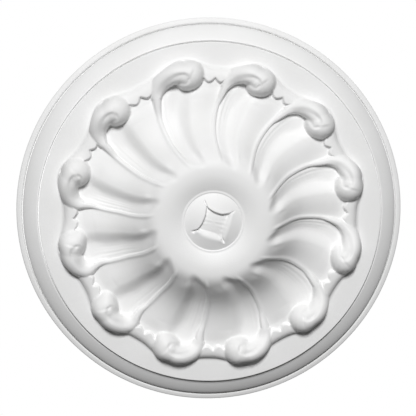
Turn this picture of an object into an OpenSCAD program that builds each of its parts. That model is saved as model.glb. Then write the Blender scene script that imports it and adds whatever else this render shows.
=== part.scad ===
// Ceiling rose: one plaster casting with a moulded rim and a swirl of gadroons that end in scrolls.
// The carving is worked out face up and then turned over, so the flat back lies on z = 0 and the
// face hangs below it. Heights in the functions are measured from the back. Angles run
// counter-clockwise as seen from the face.

/* [Rose] */
// Diameter of the rose
rose_d = 300; // [240:5:400]
// Number of gadroons, each with its scroll
petals = 12; // [9:1:15]
// Height of the flat field above the ceiling
field_h = 16; // [12:0.5:20]

/* [Rim] */
// Thickness of the plain outer edge
edge_h = 2.2; // [2.2:0.2:4]
// Width of the narrow fillet at the edge
fillet_w = 5.7; // [3:0.1:8]
// Height of the fillet where it meets the band
fillet_h = 2.8; // [2:0.1:4]
// Width of the sloping band
band_w = 12.7; // [8:0.1:16]
// Swell of the band above a straight slope
band_swell = 0.4; // [0:0.1:1.2]
// Height of the riser from the band up to the field
riser_h = 3.4; // [1:0.1:4]
// Height of the riser from the fillet up to the band
foot_riser_h = 2.7; // [1:0.1:3.5]
// Width of the plain field between the rim and the scrolls
field_w = 11.6; // [6:0.2:20]
// Chamfer around the back edge
back_chamfer = 0.8; // [0.4:0.1:1.2]

/* [Hub] */
// Height of the hub's round crest above the field
hub_rise = 35; // [24:0.5:44]
// Diameter of the crest line
crest_d = 72; // [64:0.5:84]
// Depth of the dish inside the crest
dish_depth = 4.2; // [2:0.2:7]
// Diameter of the bud in the dish
bud_d = 42.4; // [36:0.2:50]
// Height of the bud's edge above the bottom of the dish
bud_edge = 0.7; // [0.6:0.1:2]
// Rise of the bud's dome above its edge
bud_dome = 5.6; // [3:0.2:8]
// Radius of the points of the star sunk in the bud
star_r = 13; // [10:0.2:18]
// Distance from the bud's centre to the middle of a star side
star_side_r = 7; // [4:0.1:7]
// Depth of the star below the middle of the dome
star_depth = 2.8; // [1:0.2:4]

/* [Gadroons] */
// Depth of a flute below the gadroon beside it
flute_depth = 4.9; // [2:0.1:6.5]
// Distance from the crest line to where the flutes begin
flute_start = 4.5; // [3:0.5:8]
// Distance over which a flute reaches its full depth
flute_run = 9; // [6:0.5:12]
// Height of the flutes' lowest part above the field
valley_rise = 1.2; // [1:0.1:2.5]
// Height of the thin rib along each gadroon's edge
rib_h = 0.9; // [0.4:0.1:1.6]
// Width of the rib
rib_w = 3; // [2:0.5:5]

/* [Scrolls] */
// Height of the scrolls above the field
scroll_rise = 14.4; // [8:0.2:18]
// Height of the frill between two scrolls above the field
frill_rise = 6.4; // [4:0.2:8]
// Radius of a scroll's ball, as a share of the spacing of the scrolls
ball_share = 0.2; // [0.16:0.01:0.22]
// How far the outline draws in between two scrolls
scallop = 8; // [6:0.5:13]

/* [Hidden] */

// rings of the plan
rose_r = rose_d/2;
band_out_r = rose_r - fillet_w;
band_in_r = band_out_r - band_w;
crown_r = band_in_r - field_w;
crest_r = crest_d/2;
bud_r = bud_d/2;
crest_h = field_h + hub_rise;
dish_h = crest_h - dish_depth;

// spacing of the scrolls, and the circle their centres lie on
sector = 360/petals;
pitch = 2*PI*crown_r/(petals + 2*PI*ball_share);
ball_r = ball_share*pitch;
scroll_r = crown_r - ball_r - 1;
// radius of the curve by which a rib bends over into its scroll
hook_r = 0.28*pitch;
// middle of that curve, seen from the ball: along the rim and outwards
hook_x = 0.147*pitch;
hook_y = -0.225*pitch;
// length over which the rib swells before it bends
swell_len = 0.45*pitch;
// angle of the ball in its sector, and of the widest point of the outline
ball_a = 0.377*sector;
lobe_a = 0.46*sector;

// radius of the low ring where the hub's flank ends
valley_r = scroll_r - 1.57*ball_r;
valley_h = field_h + valley_rise;
// radius at which the flank has died away
flank_r = valley_r + 8;
// the frill's inner edge: mean radius, depth of its lobes and their angle
frill_r = scroll_r - 0.4*ball_r;
frill_lobe = 0.3*ball_r;
frill_step = sector/6;
// how far the rounded edge of the carving reaches inwards
edge_soft = 0.19*ball_r;

// radius at which a crease lies furthest round, and its angle there
crease_r = crest_r + 0.568*(valley_r - crest_r);
crease_a = 0.933*sector;

// grid of the carving: positions across one gadroon from crease to crease, and rows
ACROSS = [0, 0.05, 0.13, 0.22, 0.31, 0.4, 0.47, 0.54, 0.61, 0.68, 0.75, 0.82, 0.89, 0.965];
INNER_ROWS = 14;
OUTER_ROWS = 12;
overlap = 2;
bud_gap = 0.5;
sunk_h = field_h - 5;

function clamp(x) = min(1, max(0, x));
// smooth step from 0 to 1
function ease(x) = (1 - cos(180*clamp(x)))/2;
// larger of two heights, with the join filled over k
function blend(a, b, k) = max(a, b) + k/4*pow(max(0, 1 - abs(a - b)/k), 2);
// angle x brought into the sector that starts at low
function wrap(x, low) = x - sector*floor((x - low)/sector);

// angle of the crease at radius r: furthest round at crease_r, bent back on both sides of it
function crease_bend(r) = r > crease_r ? 0.307*pow((r - crease_r)/(crown_r - crease_r), 2)
    : 0.43*pow((crease_r - r)/(crease_r - crest_r), 2);
function crease(r) = crease_a - sector*crease_bend(r);

// share of the hub's rise left at r: a rounded shoulder, steep below it, then a long sweep
FLANK_HALF = 0.4;
FLANK_POWER = 3;
FLANK_END = 1/(1 + pow(1/FLANK_HALF, FLANK_POWER));
function bell(x) = 1/(1 + pow(x/FLANK_HALF, FLANK_POWER));
function flank(r) = (bell(clamp((r - crest_r)/(flank_r - crest_r))) - FLANK_END)/(1 - FLANK_END);
// the dish inside the crest
function dish(r) = dish_depth*pow(clamp((crest_r - r)/(crest_r - bud_r)), 1.9);

// section across a gadroon: share s of the way from one crease to the next, 1 on the ridge
LIP = 0.6;
FOOT = 0.3;
function section(s) = s < 0.42 ? LIP + (1 - LIP)*ease(s/0.42)
    : s < 0.46 ? 1
    : s < 0.75 ? 1 - ease((s - 0.46)/0.29)
    : FOOT*ease((s - 0.75)/0.25);
// a plain wave near the crest turns into that section further out
function lift(r, s) = let (crisp = ease((r - crest_r - 4)/14))
    crisp*section(s) + (1 - crisp)*(0.5 + 0.42*cos(360*(s - 0.18)));
// the flutes begin with rounded ends: the ridges stay whole a little longer than the middles
RIDGE_LAG = 6.5;
function lag(s) = let (off = abs(s - 0.72 - floor(s - 0.22))) RIDGE_LAG*pow(min(off, 0.32)/0.32, 2);
function fluting(r, s) = flute_depth*ease((r - crest_r - flute_start - lag(s))/flute_run)
    *(1 - 0.4*ease((r - valley_r)/16));
function rib(r, s) = rib_h*ease((r - crest_r - 6)/8)*exp(-pow((s*sector*PI/180*r - rib_w/2)/(rib_w/2), 2));
// share of the fluting that is cut in: nearly all beside the hub, a third further out
function cut_in(r) = 0.35 + 0.55*ease((crest_r + 30 - r)/26);
function gadroon(r, s) = valley_h + (crest_h - valley_h)*flank(r) - dish(r)
    + fluting(r, s)*(lift(r, s) - cut_in(r)) + rib(r, s);

// outline of the carving at angle a
function outline(a) = crown_r - scallop*(1 - pow((1 + cos((a - lobe_a)*petals))/2, 1.3));
function apron(r, a) = field_h + 0.86*frill_rise*(1 - exp((r - outline(a))/edge_soft));

// frill: a low step with two small lobes, only in the gap between two scrolls
function gap(a) = 1 - ease((abs(wrap(a - 1.02*sector, -sector/2)) - 0.173*sector)/(0.067*sector));
function frill_edge(a) = frill_r + frill_lobe*(0.4 - abs(cos(180*(a - 0.94*sector)/frill_step)));
function frill_top(r, a) = frill_rise*(0.23 + 0.77*ease((r - frill_edge(a) + 1.8)/3.6));
function frill(r, a) = field_h + gap(a)*min(frill_top(r, a), apron(r, a) - field_h + 0.5);

// ball of a scroll, x along the rim and y outwards from its middle
function ball(x, y) = field_h + scroll_rise*sqrt(clamp(1 - pow(norm([x, y])/ball_r, 2.6)));

// hook: the swelling rib and the curve that carries it over to the ball, steeper along its inner side
function hook_body(off, half, top) = (top - field_h)*(off < 0
    ? pow(clamp(1 - pow(abs(off)/half, 5)), 0.6) : pow(clamp(1 - pow(abs(off)/half, 2.2)), 0.55));
function hook_arc(dx, dy, turn) = hook_body(norm([dx, dy]) - hook_r,
    ball_r*(0.35 + 0.4*sin(90*clamp(turn))), field_h + scroll_rise*(0.46 + 0.52*ease(turn)));
function hook_stem(dx, run) = hook_body(dx - hook_r, ball_r*(0.3 - 0.18*run),
    field_h + scroll_rise*(0.46 - 0.24*run));
function hook(x, y) =
    let (dx = x - hook_x, dy = y - hook_y, turn = atan2(dy, dx)/95, run = -dy/swell_len)
    dx < -0.7*hook_r ? 0 : dx > 0 && dy < 0 ? (run > 1 ? 0 : hook_stem(dx, run))
    : turn < 0 || turn > 1.3 ? 0 : hook_arc(dx, dy, turn);
function knob(x, y) = blend(field_h + hook(x, y), ball(x, y), 3.5);

// height of the whole carving at radius r and angle a, s being the share across the gadroon
function leaf(r, a, s) = r < valley_r ? gadroon(r, s) : -blend(-gadroon(r, s), -apron(r, a), 1);
function carving(r, a, s) =
    let (u = wrap(a - ball_a, -sector/3), x = r*sin(u), y = r*cos(u) - scroll_r)
    blend(blend(leaf(r, a, s), frill(r, a), 0.6), knob(x, y), 1.5);

// how far each scroll strays from the even spacing, and the middle of each gadroon sways, in degrees
STRAY = [0.6, -1.6, -1.9, -3.1, 0.8, 0.2, 0, -0.6, 0, 0, 0.2, 0];
SWAY = [0, 0, 0, 0, 0, 0, -4, -4, -3, -1, 0, 3];
function shift_of(shifts, n) = shifts[((n%petals + petals)%petals)%len(shifts)];
function drift(shifts, angle) =
    let (p = (angle - ball_a)/sector, n = floor(p), here = shift_of(shifts, n))
    here + (shift_of(shifts, n + 1) - here)*ease(p - n);
function swirl(r, even) =
    let (outer = ease((r - crease_r)/(crown_r - crease_r)),
         middle = ease((r - crest_r - 6)/30)*(1 - ease((r - valley_r + 2)/20)))
    even + drift(STRAY, even)*outer + drift(SWAY, even)*middle;

// one grid point: the inner rows are circles, from under the bud and then from just outside it;
// the outer ones close on the scalloped outline
function row_r(row, s) = row == 0 ? bud_r - overlap : row <= INNER_ROWS
    ? bud_r + bud_gap + (valley_r - bud_r - bud_gap)*(row - 1)/(INNER_ROWS - 1)
    : valley_r + (outline(crease(crown_r) + s*sector) + 0.6 - valley_r)
        *(1 - pow(1 - (row - INNER_ROWS)/OUTER_ROWS, 1.25));
function grid_point(row, s, k) =
    let (r = row_r(row, s), a = crease(r) + s*sector,
         h = row == INNER_ROWS + OUTER_ROWS ? field_h - 2 : carving(r, a, s),
         t = swirl(r, a + k*sector))
    [r*cos(t), r*sin(t), h];

// ovolo band and its risers, from the field outwards
BAND_STEPS = 12;
RISER_RUN = 0.5;
// how far the star's tips are cut short
TIP_CUT = 0.4;
band_top_h = field_h - riser_h;
band_foot_h = fillet_h + foot_riser_h;
function band_h(t) = band_top_h + (band_foot_h - band_top_h)*t + band_swell*sin(180*t);
rim_profile = concat(
    [[0, 0], [rose_r - back_chamfer, 0], [rose_r, back_chamfer], [rose_r, edge_h - 0.8]],
    [[rose_r - 0.3, edge_h - 0.2], [rose_r - 0.9, edge_h], [band_out_r + RISER_RUN, fillet_h]],
    [for (i = [BAND_STEPS:-1:0]) [band_in_r + band_w*i/BAND_STEPS, band_h(i/BAND_STEPS)]],
    [[band_in_r - RISER_RUN, field_h - 0.2], [band_in_r - RISER_RUN - 0.2, field_h], [0, field_h]]);

module plate() {
    rotate_extrude($fn = 96) polygon(rim_profile);
}

module carved_face() {
    cols = len(ACROSS)*petals;
    rows = INNER_ROWS + OUTER_ROWS;
    top = [for (row = [0:rows]) for (k = [0:petals - 1]) for (s = ACROSS) grid_point(row, s, k)];
    foot = [for (i = [0:cols - 1]) let (p = top[rows*cols + i]) [p[0], p[1], sunk_h]];
    strips = [for (row = [0:rows]) for (i = [0:cols - 1])
        let (j = (i + 1)%cols, a = row*cols, b = a + cols)
        each [[a + i, a + j, b + i], [a + j, b + j, b + i]]];
    dish_cap = [for (i = [0:cols - 1]) cols - 1 - i];
    foot_cap = [for (i = [0:cols - 1]) (rows + 1)*cols + i];
    polyhedron(concat(top, foot), concat(strips, [dish_cap, foot_cap]), convexity = 10);
}

module star() {
    // four round lobes leave a star with four hollow sides and slightly blunt tips
    half = star_r/sqrt(2);
    sag = half - star_side_r;
    lobe_r = (half*half + sag*sag)/(2*sag);
    difference() {
        circle(r = star_r - TIP_CUT, $fn = 96);
        for (k = [0:3]) rotate(70 + 90*k) translate([star_side_r + lobe_r, 0]) circle(r = lobe_r, $fn = 96);
    }
}

module bud() {
    cap_h = dish_h + bud_edge + bud_dome;
    cap_r = (bud_r*bud_r + bud_dome*bud_dome)/(2*bud_dome);
    difference() {
        intersection() {
            translate([0, 0, field_h]) cylinder(r = bud_r, h = crest_h, $fn = 96);
            translate([0, 0, cap_h - cap_r]) sphere(r = cap_r, $fn = 96);
        }
        translate([0, 0, cap_h - star_depth]) linear_extrude(star_depth + 1) star();
    }
}

// the casting
module ceiling_rose() {
    color("whitesmoke") rotate([180, 0, 0]) union() {
        plate();
        carved_face();
        bud();
    }
}

ceiling_rose();
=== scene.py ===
"""Ceiling rose: the looks of the plaster casting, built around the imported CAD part."""

import math

import bpy
import numpy as np
from mathutils import Matrix, Vector


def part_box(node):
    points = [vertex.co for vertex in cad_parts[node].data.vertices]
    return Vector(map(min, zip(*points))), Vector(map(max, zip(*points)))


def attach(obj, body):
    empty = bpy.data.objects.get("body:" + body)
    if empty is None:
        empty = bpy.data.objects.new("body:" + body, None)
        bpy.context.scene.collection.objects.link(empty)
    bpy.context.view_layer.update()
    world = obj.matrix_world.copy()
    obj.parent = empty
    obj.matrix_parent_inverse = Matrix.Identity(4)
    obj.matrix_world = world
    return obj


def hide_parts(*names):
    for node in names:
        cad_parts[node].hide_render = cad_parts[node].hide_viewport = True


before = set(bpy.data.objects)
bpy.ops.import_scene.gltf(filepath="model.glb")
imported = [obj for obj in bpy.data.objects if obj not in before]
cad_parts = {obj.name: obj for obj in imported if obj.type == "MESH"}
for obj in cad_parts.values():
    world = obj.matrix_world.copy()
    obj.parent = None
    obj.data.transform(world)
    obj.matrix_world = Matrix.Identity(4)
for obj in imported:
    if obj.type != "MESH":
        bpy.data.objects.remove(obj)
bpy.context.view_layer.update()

# ---- sizes -----------------------------------------------------------------------------------
# In millimetres and degrees. The radius and the full depth come from the frame, and the rest
# follow the values and rules of the CAD part. Heights are measured from the flat back, and the
# carving is worked out face up. Angles run counter-clockwise as seen from the face.
MM = 0.001
low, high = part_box("ceiling_rose")
rose_r = (high[0] - low[0]) / 2 / MM
full_depth = (high[2] - low[2]) / MM
PETALS = 12
SECTOR = 360 / PETALS
field_h = 16.0
edge_h, fillet_w, fillet_h = 2.2, 5.7, 2.8
band_w, band_swell, riser_h = 12.7, 0.4, 3.4
foot_riser_h = 0.8 * riser_h
field_w = 11.6
back_chamfer = 0.8
crest_h = field_h + 35.0
crest_r = 36.0
dish_depth = 4.2
bud_r, bud_edge, bud_dome = 21.2, 0.7, 5.6
star_r, star_side_r, star_depth = 13.0, 7.0, 2.8
flute_depth, valley_rise = 4.9, 1.2
flute_start, flute_run = 4.5, 9.0
rib_h, rib_w = 0.9, 3.0
scroll_rise, frill_rise = 14.4, 6.4
ball_share, scallop = 0.2, 8.0

# rings of the plan, and the spacing of the scrolls
band_out_r = rose_r - fillet_w
band_in_r = band_out_r - band_w
crown_r = band_in_r - field_w
dish_h = crest_h - dish_depth
pitch = 2 * math.pi * crown_r / (PETALS + 2 * math.pi * ball_share)
ball_r = ball_share * pitch
scroll_r = crown_r - ball_r - 1
# curve by which a rib bends over into its scroll: radius, middle, angle to the ball, and the
# length over which the rib swells before it
hook_r, hook_x, hook_y = 0.28 * pitch, 0.147 * pitch, -0.225 * pitch
HOOK_TURN = 95
swell_len = 0.45 * pitch
# angle of the ball in its sector, and of the widest point of the outline
ball_a, lobe_a = 0.377 * SECTOR, 0.46 * SECTOR
# low ring where the hub's flank ends, and the radius at which the flank has died away
valley_r = scroll_r - 1.57 * ball_r
valley_h = field_h + valley_rise
flank_r = valley_r + 8
FLANK_HALF, FLANK_POWER = 0.4, 3.0
# frill: mean radius of its inner edge, depth of its lobes and their angle; then half the gap that
# it fills, and the angle over which it dies away there
frill_r, frill_lobe, frill_step = scroll_r - 0.4 * ball_r, 0.3 * ball_r, SECTOR / 6
gap_half, gap_soft = 5.2, 2.0
# how far the rounded edge of the carving reaches inwards
edge_soft = 0.19 * ball_r
# radius at which a crease lies furthest round, and its angle there
crease_r = crest_r + 0.568 * (valley_r - crest_r)
crease_a = 0.933 * SECTOR
# section across a gadroon: heights at its two creases, then shares across it
LIP, FOOT = 0.6, 0.3
RIDGE_START, RIDGE_END, FLUTE_END = 0.42, 0.46, 0.75
FLUTE_MID, FLUTE_HALF = 0.72, 0.32
# how much longer a ridge stays whole than the middle of a flute
RIDGE_LAG = 6.5
# how far each scroll strays from the even spacing, and the middle of each gadroon sways
STRAY = (0.6, -1.6, -1.9, -3.1, 0.8, 0.2, 0, -0.6, 0, 0, 0.2, 0)
SWAY = (0, 0, 0, 0, 0, 0, -4, -4, -3, -1, 0, 3)

# finer relief, which the CAD part doesn't hold; STEP_W is the width of the step at a crease
STEP_W, tool_depth = 0.8, 0.07
groove_depth, foot_groove_depth = 1.8, 1.6
tongue_r, tongue_half, TONGUE_END = 0.196 * pitch, 0.094 * pitch, 106.0
tongue_depth, tongue_soft = 1.5, 5.0
eye_depth, end_depth, end_soft = 1.1, 1.2, 2.4
STAR_ANGLES = (27, 113, 205, 297)
tail_r, tail_half = 17.6, 0.55
star_lip, streak_depth = 0.25, 0.09
# bead around the bud: distance out from its edge and height above it
BEAD = ((0.1, 0.0), (0.3, 0.2), (0.6, 0.35), (1.0, 0.42), (1.4, 0.38), (1.8, 0.35), (2.3, 0.42))

# mesh: columns to a gadroon, the radius where the fine ones start, and how much closer together
# they lie at a crease; then the rows of each part, those of the star as shares of its radius
COARSE, FINE, FINE_R, CREASE_PULL = 24, 72, 40.0, 0.06
STAR_ROWS = (0.2, 0.4, 0.6, 0.8, 0.92, 0.98, 1.02, 1.06, 1.12, 1.2, 1.3, 1.42)
DOME_ROWS, DISH_ROWS, FLANK_ROWS, CARVED_ROWS, FIELD_ROWS, BAND_ROWS = 7, 12, 38, 50, 6, 12

# camera, in metres: looks up at the face, tilted off its normal towards LEAN
LENS, SENSOR = 85.4, 36.0
TILT, LEAN = math.radians(8.3), math.radians(19.0)
DISTANCE = 0.771
AIM = Vector((-0.00165, -0.00365, 0))

# light and floor, in metres
KEY_PLACE, KEY_SIZE, KEY_POWER = (-0.21, -1.73, -2.69), 0.7, 96.0
SKY_STRENGTH, SKY_SOFTNESS = 2.3, math.radians(50)
SKY_TURN = (math.radians(20), math.radians(12), 0)
FILL = 0.05
FLOOR_Z, FLOOR_HALF = -2.95, 150.0

# ---- shape functions -------------------------------------------------------------------------


def clamp(x):
    return np.clip(x, 0, 1)


def ease(x):
    """Smooth step from 0 to 1."""
    return (1 - np.cos(np.pi * clamp(x))) / 2


def window(x, start, run_in, end, run_out):
    """Rises to 1 over run_in from start, and falls back to 0 over run_out from end."""
    return ease((x - start) / run_in) * (1 - ease((x - end) / run_out))


def blend(a, b, k):
    """The larger of two heights, with the join filled over k."""
    return np.maximum(a, b) + k / 4 * np.maximum(0, 1 - np.abs(a - b) / k) ** 2


def wrap(x, start):
    """Angle x brought into the sector that begins at start."""
    return x - SECTOR * np.floor((x - start) / SECTOR)


def half_turn(angle):
    """An angle brought between -180 and 180."""
    return np.mod(angle + 180, 360) - 180


def crease(r):
    """Angle of the crease at radius r: furthest round at crease_r, bent back on both sides of it."""
    out = 0.307 * np.maximum(0, (r - crease_r) / (crown_r - crease_r)) ** 2
    into = 0.43 * np.maximum(0, (crease_r - r) / (crease_r - crest_r)) ** 2
    return crease_a - SECTOR * (out + into)


def drift(shifts, angle):
    """Smooth drift round the disc through the shifts given for the gadroons."""
    p = (angle - ball_a) / SECTOR
    n = np.floor(p).astype(int)
    shifts = np.array(shifts)
    here, after = shifts[n % PETALS], shifts[(n + 1) % PETALS]
    return here + (after - here) * ease(p - n)


def swirl(r, theta):
    """Angle of a point of the pattern: the even spacing, its drift, and the sway of the gadroons."""
    outer = ease((r - crease_r) / (crown_r - crease_r))
    middle = window(r, crest_r + 6, 30, valley_r - 2, 20)
    return theta + drift(STRAY, theta) * outer + drift(SWAY, theta) * middle


def flank(r):
    """Share of the hub's rise left at r: a rounded shoulder, steep below it, then a long sweep."""
    x = clamp((r - crest_r) / (flank_r - crest_r)) / FLANK_HALF
    end = 1 / (1 + FLANK_HALF ** -FLANK_POWER)
    return (1 / (1 + x ** FLANK_POWER) - end) / (1 - end)


def dish(r):
    return dish_depth * clamp((crest_r - r) / (crest_r - bud_r)) ** 1.9


def section(s):
    """Height across a gadroon from crease to crease, 1 on its ridge."""
    rise = LIP + (1 - LIP) * ease(s / RIDGE_START)
    fall = 1 - ease((s - RIDGE_END) / (FLUTE_END - RIDGE_END))
    foot = FOOT * ease((s - FLUTE_END) / (1 - FLUTE_END))
    return np.select([s < RIDGE_START, s < RIDGE_END, s < FLUTE_END], [rise, 1.0, fall], foot)


def lift(r, s):
    """A plain wave near the crest, which turns into the section and its steps further out."""
    before_crease = np.radians((s - 1) * SECTOR) * r
    step = (LIP - FOOT) * ease(before_crease / STEP_W + 1) * (s > 0.5)
    crisp = ease((r - crest_r - 4) / 14)
    return crisp * (section(s) + step) + (1 - crisp) * (0.5 + 0.42 * np.cos(2 * np.pi * (s - 0.18)))


def fluting(r, s):
    """Depth of the flutes, which begin with rounded ends and grow shallower past the valley."""
    off = s - FLUTE_MID - np.floor(s - FLUTE_MID + 0.5)
    lag = RIDGE_LAG * np.minimum(np.abs(off) / FLUTE_HALF, 1) ** 2
    deep = flute_depth * ease((r - crest_r - flute_start - lag) / flute_run)
    return deep * (1 - 0.4 * ease((r - valley_r) / 16))


def cut_in(r):
    """Share of the fluting that is cut in: nearly all beside the hub, a third further out."""
    return 0.35 + 0.55 * ease((crest_r + 30 - r) / 26)


def rib(r, s):
    arc = np.radians(s * SECTOR) * r
    return rib_h * ease((r - crest_r - 6) / 8) * np.exp(-((arc - rib_w / 2) / (rib_w / 2)) ** 2)


def tooling(r, s):
    """Faint lines that a tool left along the foot of each gadroon."""
    lines = tool_depth * (np.sin(s * 97) + np.sin(s * 61 + 1))
    return lines * window(s, 0.7, 0.1, 0.94, 0.05) * window(r, 55, 15, 98, 8)


def gadroon(r, s):
    """Height of the hub and its gadroons, s being the share across from crease to crease."""
    mean = valley_h + (crest_h - valley_h) * flank(r) - dish(r)
    return mean + fluting(r, s) * (lift(r, s) - cut_in(r)) + rib(r, s) + tooling(r, s)


def outline(a):
    """Radius of the carving's scalloped edge."""
    wave = (1 + np.cos(np.radians((a - lobe_a) * PETALS))) / 2
    return crown_r - scallop * (1 - wave ** 1.3)


def apron(r, a):
    """Rounded edge of the carving, which falls to the field at the outline."""
    return field_h + 0.86 * frill_rise * (1 - np.exp((r - outline(a)) / edge_soft))


def frill(r, a):
    """Two small rounded lobes in the gap between a scroll and the next."""
    across = np.abs(np.cos(np.pi * (a - 0.94 * SECTOR) / frill_step))
    inside = r - frill_r - frill_lobe * (0.4 - across)
    top = frill_rise * (0.23 + 0.77 * ease((inside + 1.2) / 2.6)) + 0.8 * across * ease(inside / 3)
    gap = 1 - ease((np.abs(wrap(a - 1.02 * SECTOR, -SECTOR / 2)) - gap_half) / gap_soft)
    return field_h + np.minimum(top - 0.5, apron(r, a) - field_h + 0.5) * gap


def ball(x, y):
    """Ball of a scroll, x along the rim and y outwards from its middle."""
    return field_h + scroll_rise * np.sqrt(clamp(1 - (np.hypot(x, y) / ball_r) ** 2.6))


def rib_body(off, half, top):
    """Round section of a rib, steeper along its inner side, off being the distance from its line."""
    inner = clamp(1 - np.abs(off / half) ** 5) ** 0.6
    outer = clamp(1 - np.abs(off / half) ** 2.2) ** 0.55
    return top * np.where(off < 0, inner, outer)


def hook(x, y):
    """The swelling rib and the curve that carries it over to the ball."""
    dx, dy = x - hook_x, y - hook_y
    turn = np.degrees(np.arctan2(dy, dx)) / HOOK_TURN
    arc_half = ball_r * (0.35 + 0.4 * np.sin(np.pi / 2 * clamp(turn)))
    arc = rib_body(np.hypot(dx, dy) - hook_r, arc_half, scroll_rise * (0.46 + 0.52 * ease(turn)))
    run = -dy / swell_len
    stem_half = ball_r * np.maximum(0.3 - 0.18 * run, 0.05)
    stem = rib_body(dx - hook_r, stem_half, scroll_rise * (0.46 - 0.24 * run))
    on_stem = (dx > 0) & (dy < 0)
    on_arc = ~on_stem & (turn >= 0) & (turn <= 1.3)
    return np.select([dx < -0.7 * hook_r, on_stem & (run <= 1), on_arc], [0.0, stem, arc], 0.0)


def tongue(x, y):
    """Depth of the tongue below the scroll's round top, and of the crescent eye at its end."""
    dx, dy = x - hook_x, y - hook_y
    turn = np.degrees(np.arctan2(dy, dx))
    end_x = hook_x + tongue_r * math.cos(math.radians(TONGUE_END))
    end_y = hook_y + tongue_r * math.sin(math.radians(TONGUE_END))
    past = (turn > TONGUE_END) | (turn < -60)
    off = np.where(past, np.hypot(x - end_x, y - end_y), np.abs(np.hypot(dx, dy) - tongue_r))
    soft = tongue_soft - (tongue_soft - end_soft) * ease((turn - 50) / 60)
    soft = np.where(past, end_soft, soft)
    deep = np.where(past, end_depth, tongue_depth * ease((turn + 15) / 60))
    sunk = 1 - ease((off - tongue_half + soft) / soft)
    side = np.arctan2(end_y - y, end_x - x)
    eye = eye_depth * np.exp(-((off - tongue_half + 0.7) / 0.6) ** 2 - ((side - 0.45) / 0.75) ** 2)
    return deep * sunk + eye * past


def carving(r, a, s):
    """Height of the whole carving at radius r and angle a, s being the share across the gadroon."""
    u = np.radians(wrap(a - ball_a, -SECTOR / 3))
    x, y = r * np.sin(u), r * np.cos(u) - scroll_r
    leaf = np.where(r < valley_r, gadroon(r, s), -blend(-gadroon(r, s), -apron(r, a), 1.0))
    round_top = blend(field_h + hook(x, y), ball(x, y), 3.5)
    knob = np.maximum(round_top - tongue(x, y) * (round_top > field_h + 0.5), field_h)
    return np.maximum(blend(blend(leaf, frill(r, a), 0.5), knob, 1.2), field_h)


def star_edge(theta):
    """Radius of the star with four hollow sides."""
    out = np.full(theta.shape, star_r)
    for n, start in enumerate(STAR_ANGLES):
        half_a = (STAR_ANGLES[(n + 1) % 4] - start) % 360 / 2
        half = star_r * math.sin(math.radians(half_a))
        reach = star_r * math.cos(math.radians(half_a)) - star_side_r
        lobe_r = (half * half + reach * reach) / (2 * reach)
        centre = star_side_r + lobe_r
        u = half_turn(theta - (start + half_a))
        across = centre * np.sin(np.radians(u))
        side = centre * np.cos(np.radians(u)) - np.sqrt(np.maximum(lobe_r ** 2 - across ** 2, 0))
        out = np.where(np.abs(u) <= half_a, np.minimum(side, star_r), out)
    return out


def star_tails(r, theta):
    """Depth of the cuts that run on from the star's points; the low ones are wider and deeper."""
    off = np.min([np.abs(half_turn(theta - corner)) for corner in STAR_ANGLES], axis=0)
    lowness = ease(-np.sin(np.radians(theta)) * 2)
    side = np.radians(off) * r / tail_half / (1 + 0.5 * lowness * ease((r - 14) / 2))
    return (1.3 + lowness) * np.exp(-side ** 2) * window(r, star_r - 2.5, 2, tail_r - 1.2, 1.2)


def bud_height(r, theta):
    """Dome of the bud with its sunk star; the lower and right petals slope gently to the star."""
    cap_r = (bud_r ** 2 + bud_dome ** 2) / (2 * bud_dome)
    dome = dish_h + bud_edge + bud_dome - cap_r + np.sqrt(cap_r ** 2 - r ** 2)
    off = (r - star_edge(theta)) * 0.9
    width = 1.1 + 3.6 * ease((np.cos(np.radians(theta + 60)) + 0.35) / 0.7)
    sunk = 1 - ease((off + 0.3) / width)
    star = star_depth * sunk * (1 - 0.75 * ease((r - 11) / 6))
    lip = star_lip * np.exp(-((off - width) / 1.4) ** 2) * (r > 4)
    streaks = streak_depth * np.sin(1.9 * r * np.sin(np.radians(theta + 12))) * sunk * (r > 0.5)
    return np.minimum(dome - np.maximum(star, star_tails(r, theta)) + lip + streaks, full_depth)


def groove(start, end, floor_h, level):
    """Rows of a groove from start to end, up its steep far wall to just below level."""
    return [(start, floor_h), (end - 0.1, floor_h), (end - 0.02, floor_h + 0.2), (end, level - 0.3)]


def rim_rows():
    """Section of the rim from the field outwards to the back, as rings (radius, height)."""
    top_h, foot_h = field_h - riser_h, fillet_h + foot_riser_h
    t = np.linspace(0, 1, BAND_ROWS + 1)
    band = top_h + (foot_h - top_h) * t + band_swell * np.sin(np.pi * t) - 0.5 * t ** 8
    # edge of the field, riser and groove
    rows = [(band_in_r - 1.3, field_h), (band_in_r - 0.8, field_h), (band_in_r - 0.6, field_h - 0.15)]
    rows.append((band_in_r - 0.3, top_h - 0.4))
    rows += groove(band_in_r - 0.15, band_in_r + 0.8, top_h - groove_depth, top_h)
    rows.append((band_in_r + 0.86, top_h - 0.08))
    # band
    rows += [(band_in_r + 1 + (band_w - 1) * f, h) for f, h in zip(t, band)]
    # riser, groove and fillet
    rows += [(band_out_r + 0.25, foot_h - 1), (band_out_r + 0.4, fillet_h - 0.3)]
    rows += groove(band_out_r + 0.5, band_out_r + 1.4, fillet_h - foot_groove_depth, fillet_h)
    rows += [(band_out_r + 1.5, fillet_h - 0.06), (band_out_r + 2.6, fillet_h)]
    # rounded edge, and the chamfer at the back
    rows += [(rose_r - 0.9, edge_h), (rose_r - 0.3, edge_h - 0.2)]
    rows += [(rose_r, edge_h - 0.8), (rose_r, back_chamfer), (rose_r - back_chamfer, 0)]
    return rows


# ---- mesh ------------------------------------------------------------------------------------


def ring(r, theta, h):
    """Points at the angles theta, with one radius and height or one for each."""
    t = np.radians(theta)
    return np.stack([r * np.cos(t), r * np.sin(t), np.broadcast_to(h, t.shape)], 1)


def columns(count):
    """For each column round the rose, its share across its gadroon and where its sector starts."""
    even = np.arange(count) / count
    share = even - CREASE_PULL * np.sin(2 * np.pi * even)
    return np.tile(share, PETALS), np.repeat(np.arange(PETALS), count) * SECTOR


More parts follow.
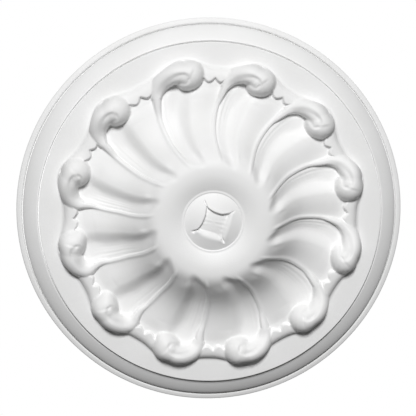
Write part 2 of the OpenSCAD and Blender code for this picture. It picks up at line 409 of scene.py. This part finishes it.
def steps(count):
    """Shares from just past 0 up to 1."""
    return np.linspace(0, 1, count + 1)[1:]


def middle_rings():
    """The bud with its star, the bead around it, and the dish to where the fine columns start."""
    s, start = columns(COARSE)
    theta = crease(FINE_R) + s * SECTOR + start
    star_radii = [star_edge(theta) * f for f in STAR_ROWS]
    last = star_radii[-1]
    dome_radii = [last + (bud_r - 0.25 - last) * f for f in steps(DOME_ROWS)]
    centre = np.zeros(1)
    rings = [ring(centre, centre, bud_height(centre, centre))]
    rings += [ring(r, theta, bud_height(r, theta)) for r in star_radii + dome_radii]
    rings += [ring(bud_r + out, theta, dish_h + bud_edge + up) for out, up in BEAD]
    dish_radii = np.linspace(bud_r + 2.7, FINE_R - 1, DISH_ROWS)
    return rings + [ring(r, theta, gadroon(r, s)) for r in dish_radii]


def ground_rings():
    """The carved ground, in circles down the hub and then in rows that close on the outline.

    Also gives the radii and angles of the last ring, which lies on the field.
    """
    s, start = columns(FINE)
    out_r = crown_r
    for _ in range(8):
        out_r = outline(crease(out_r) + s * SECTOR)
    radii = list(np.linspace(FINE_R, valley_r, FLANK_ROWS))
    radii += [valley_r + (out_r - valley_r) * (1 - (1 - f) ** 1.25) for f in steps(CARVED_ROWS)]
    rings = []
    for r in radii:
        a = crease(r) + s * SECTOR
        theta = swirl(r, a + start)
        rings.append(ring(r, theta, carving(r, a, s)))
    rings[-1] = ring(r, theta, field_h)
    return rings, r, theta


def rim_rings(r, theta):
    """The plain field outside a ring of radii r at angles theta, then the rim and the flat back."""
    rings = [ring(r + (band_in_r - 1.2 - r) * f, theta, field_h) for f in steps(FIELD_ROWS + 1)[:-1]]
    rings += [ring(row_r, theta, h) for row_r, h in rim_rows()]
    rings += [ring(rose_r * f, theta, 0) for f in (0.8, 0.5, 0.25)]
    return rings + [np.zeros((1, 3))]


def strip(a, b, na, nb):
    """Faces between a ring of na points from index a and the next outwards, of nb from index b."""
    if na > nb:
        return [face[::-1] for face in strip(b, a, nb, na)]
    if na == 1:
        return [(a, b + i, b + (i + 1) % nb) for i in range(nb)]
    if na == nb:
        return [(a + i, b + i, b + (i + 1) % nb, a + (i + 1) % na) for i in range(na)]
    many = nb // na
    turn = many // 2 + 1
    faces = []
    for i in range(na):
        here, after = a + i, a + (i + 1) % na
        fan = [b + (i * many + j) % nb for j in range(many + 1)]
        faces += [(here if j < turn else after, fan[j], fan[j + 1]) for j in range(many)]
        faces.append((here, fan[turn], after))
    return faces


def add_object(name, data):
    made = bpy.data.objects.new(name, data)
    bpy.context.collection.objects.link(made)
    return made


def build_casting():
    """The whole casting as one closed mesh, turned over so that its face hangs below z = 0."""
    ground, out_r, out_a = ground_rings()
    thin = FINE // COARSE
    rings = middle_rings() + ground + rim_rings(out_r[::thin], out_a[::thin])
    faces = []
    start = 0
    for inner, outer in zip(rings[:-1], rings[1:]):
        faces += strip(start, start + len(inner), len(inner), len(outer))
        start += len(inner)
    xyz = np.concatenate(rings) * MM * (1, -1, -1)
    mesh = bpy.data.meshes.new("casting")
    mesh.from_pydata(xyz.tolist(), [], faces)
    mesh.validate()
    mesh.shade_smooth()
    return add_object("casting", mesh)


casting = build_casting()

# ---- camera ----------------------------------------------------------------------------------


def add_camera():
    """Looks up at the face, with the disc filling 92 % of the picture's width."""
    lean = Vector((-math.sin(LEAN), -math.cos(LEAN), 0))
    away = lean * math.sin(TILT) + Vector((0, 0, -math.cos(TILT)))
    back = away.normalized()
    right = Vector((0, -1, 0)).cross(back).normalized()
    pose = Matrix((right, back.cross(right), back)).transposed().to_4x4()
    pose.translation = AIM + away * DISTANCE
    data = bpy.data.cameras.new("camera")
    data.lens, data.sensor_width = LENS, SENSOR
    camera = add_object("camera", data)
    camera.matrix_world = pose
    bpy.context.scene.camera = camera


add_camera()

# ---- light, floor and surround ---------------------------------------------------------------


def add_key():
    """Soft lamp below the rose, aimed at its middle."""
    data = bpy.data.lights.new("key", "AREA")
    data.size, data.energy = KEY_SIZE, KEY_POWER
    light = add_object("key", data)
    light.location = KEY_PLACE
    light.rotation_euler = (-Vector(KEY_PLACE)).to_track_quat("-Z", "Y").to_euler()


def add_sky():
    """Even light from above for the back and the floor; the rose shades its own face from it."""
    data = bpy.data.lights.new("sky", "SUN")
    data.energy, data.angle = SKY_STRENGTH, SKY_SOFTNESS
    add_object("sky", data).rotation_euler = SKY_TURN


def add_floor():
    """Plain pale floor far below the rose, which throws no light back up at it."""
    mesh = bpy.data.meshes.new("floor")
    corners = [(x * FLOOR_HALF, y * FLOOR_HALF, FLOOR_Z) for x, y in ((-1, -1), (1, -1), (1, 1), (-1, 1))]
    mesh.from_pydata(corners, [], [(0, 1, 2, 3)])
    paint = bpy.data.materials.new("floor paint")
    paint.use_nodes = True
    shader = paint.node_tree.nodes["Principled BSDF"]
    shader.inputs["Base Color"].default_value = (0.8, 0.8, 0.79, 1)
    shader.inputs["Roughness"].default_value = 0.8
    mesh.materials.append(paint)
    floor = add_object("floor", mesh)
    floor.visible_diffuse = False


def add_world():
    """Plain white to the camera, and a dim even fill on the piece."""
    world = bpy.data.worlds.new("world")
    world.use_nodes = True
    tree = world.node_tree
    back = tree.nodes["Background"]
    back.inputs["Color"].default_value = (1, 1, 1, 1)
    path = tree.nodes.new("ShaderNodeLightPath")
    mix = tree.nodes.new("ShaderNodeMix")
    mix.inputs["A"].default_value, mix.inputs["B"].default_value = FILL, 1.0
    tree.links.new(path.outputs["Is Camera Ray"], mix.inputs["Factor"])
    tree.links.new(mix.outputs["Result"], back.inputs["Strength"])
    bpy.context.scene.world = world


add_key()
add_sky()
add_floor()
add_world()
bpy.context.scene.view_settings.view_transform = "Standard"

# ---- plaster ---------------------------------------------------------------------------------


def plaster():
    """White cast plaster: fine grain, faint clouding and a few pinholes."""
    mat = bpy.data.materials.new("plaster")
    mat.use_nodes = True
    nodes, links = mat.node_tree.nodes, mat.node_tree.links
    shader = nodes["Principled BSDF"]
    shader.inputs["Roughness"].default_value = 0.62
    place = nodes.new("ShaderNodeTexCoord").outputs["Object"]

    def noise(scale, detail):
        node = nodes.new("ShaderNodeTexNoise")
        node.inputs["Scale"].default_value = scale
        node.inputs["Detail"].default_value = detail
        links.new(place, node.inputs["Vector"])
        return node.outputs["Fac"]

    # clouding of the colour
    ramp = nodes.new("ShaderNodeValToRGB")
    grey, white = ramp.color_ramp.elements
    grey.position, white.position = 0.3, 0.7
    grey.color, white.color = (0.83, 0.83, 0.825, 1), (0.87, 0.87, 0.87, 1)
    links.new(noise(28, 4), ramp.inputs["Fac"])
    links.new(ramp.outputs["Color"], shader.inputs["Base Color"])

    # pinholes, added to the grain
    cells = nodes.new("ShaderNodeTexVoronoi")
    cells.inputs["Scale"].default_value = 190
    links.new(place, cells.inputs["Vector"])
    pit = nodes.new("ShaderNodeMapRange")
    pit.inputs["From Min"].default_value, pit.inputs["From Max"].default_value = 0.02, 0.09
    links.new(cells.outputs["Distance"], pit.inputs["Value"])
    grain = nodes.new("ShaderNodeMath")
    grain.operation = "ADD"
    links.new(noise(900, 5), grain.inputs[0])
    links.new(pit.outputs["Result"], grain.inputs[1])
    bump = nodes.new("ShaderNodeBump")
    bump.inputs["Strength"].default_value = 0.25
    bump.inputs["Distance"].default_value = 0.0003
    links.new(grain.outputs["Value"], bump.inputs["Height"])
    links.new(bump.outputs["Normal"], shader.inputs["Normal"])
    return mat


casting.data.materials.append(plaster())
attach(casting, "root")
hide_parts("ceiling_rose")
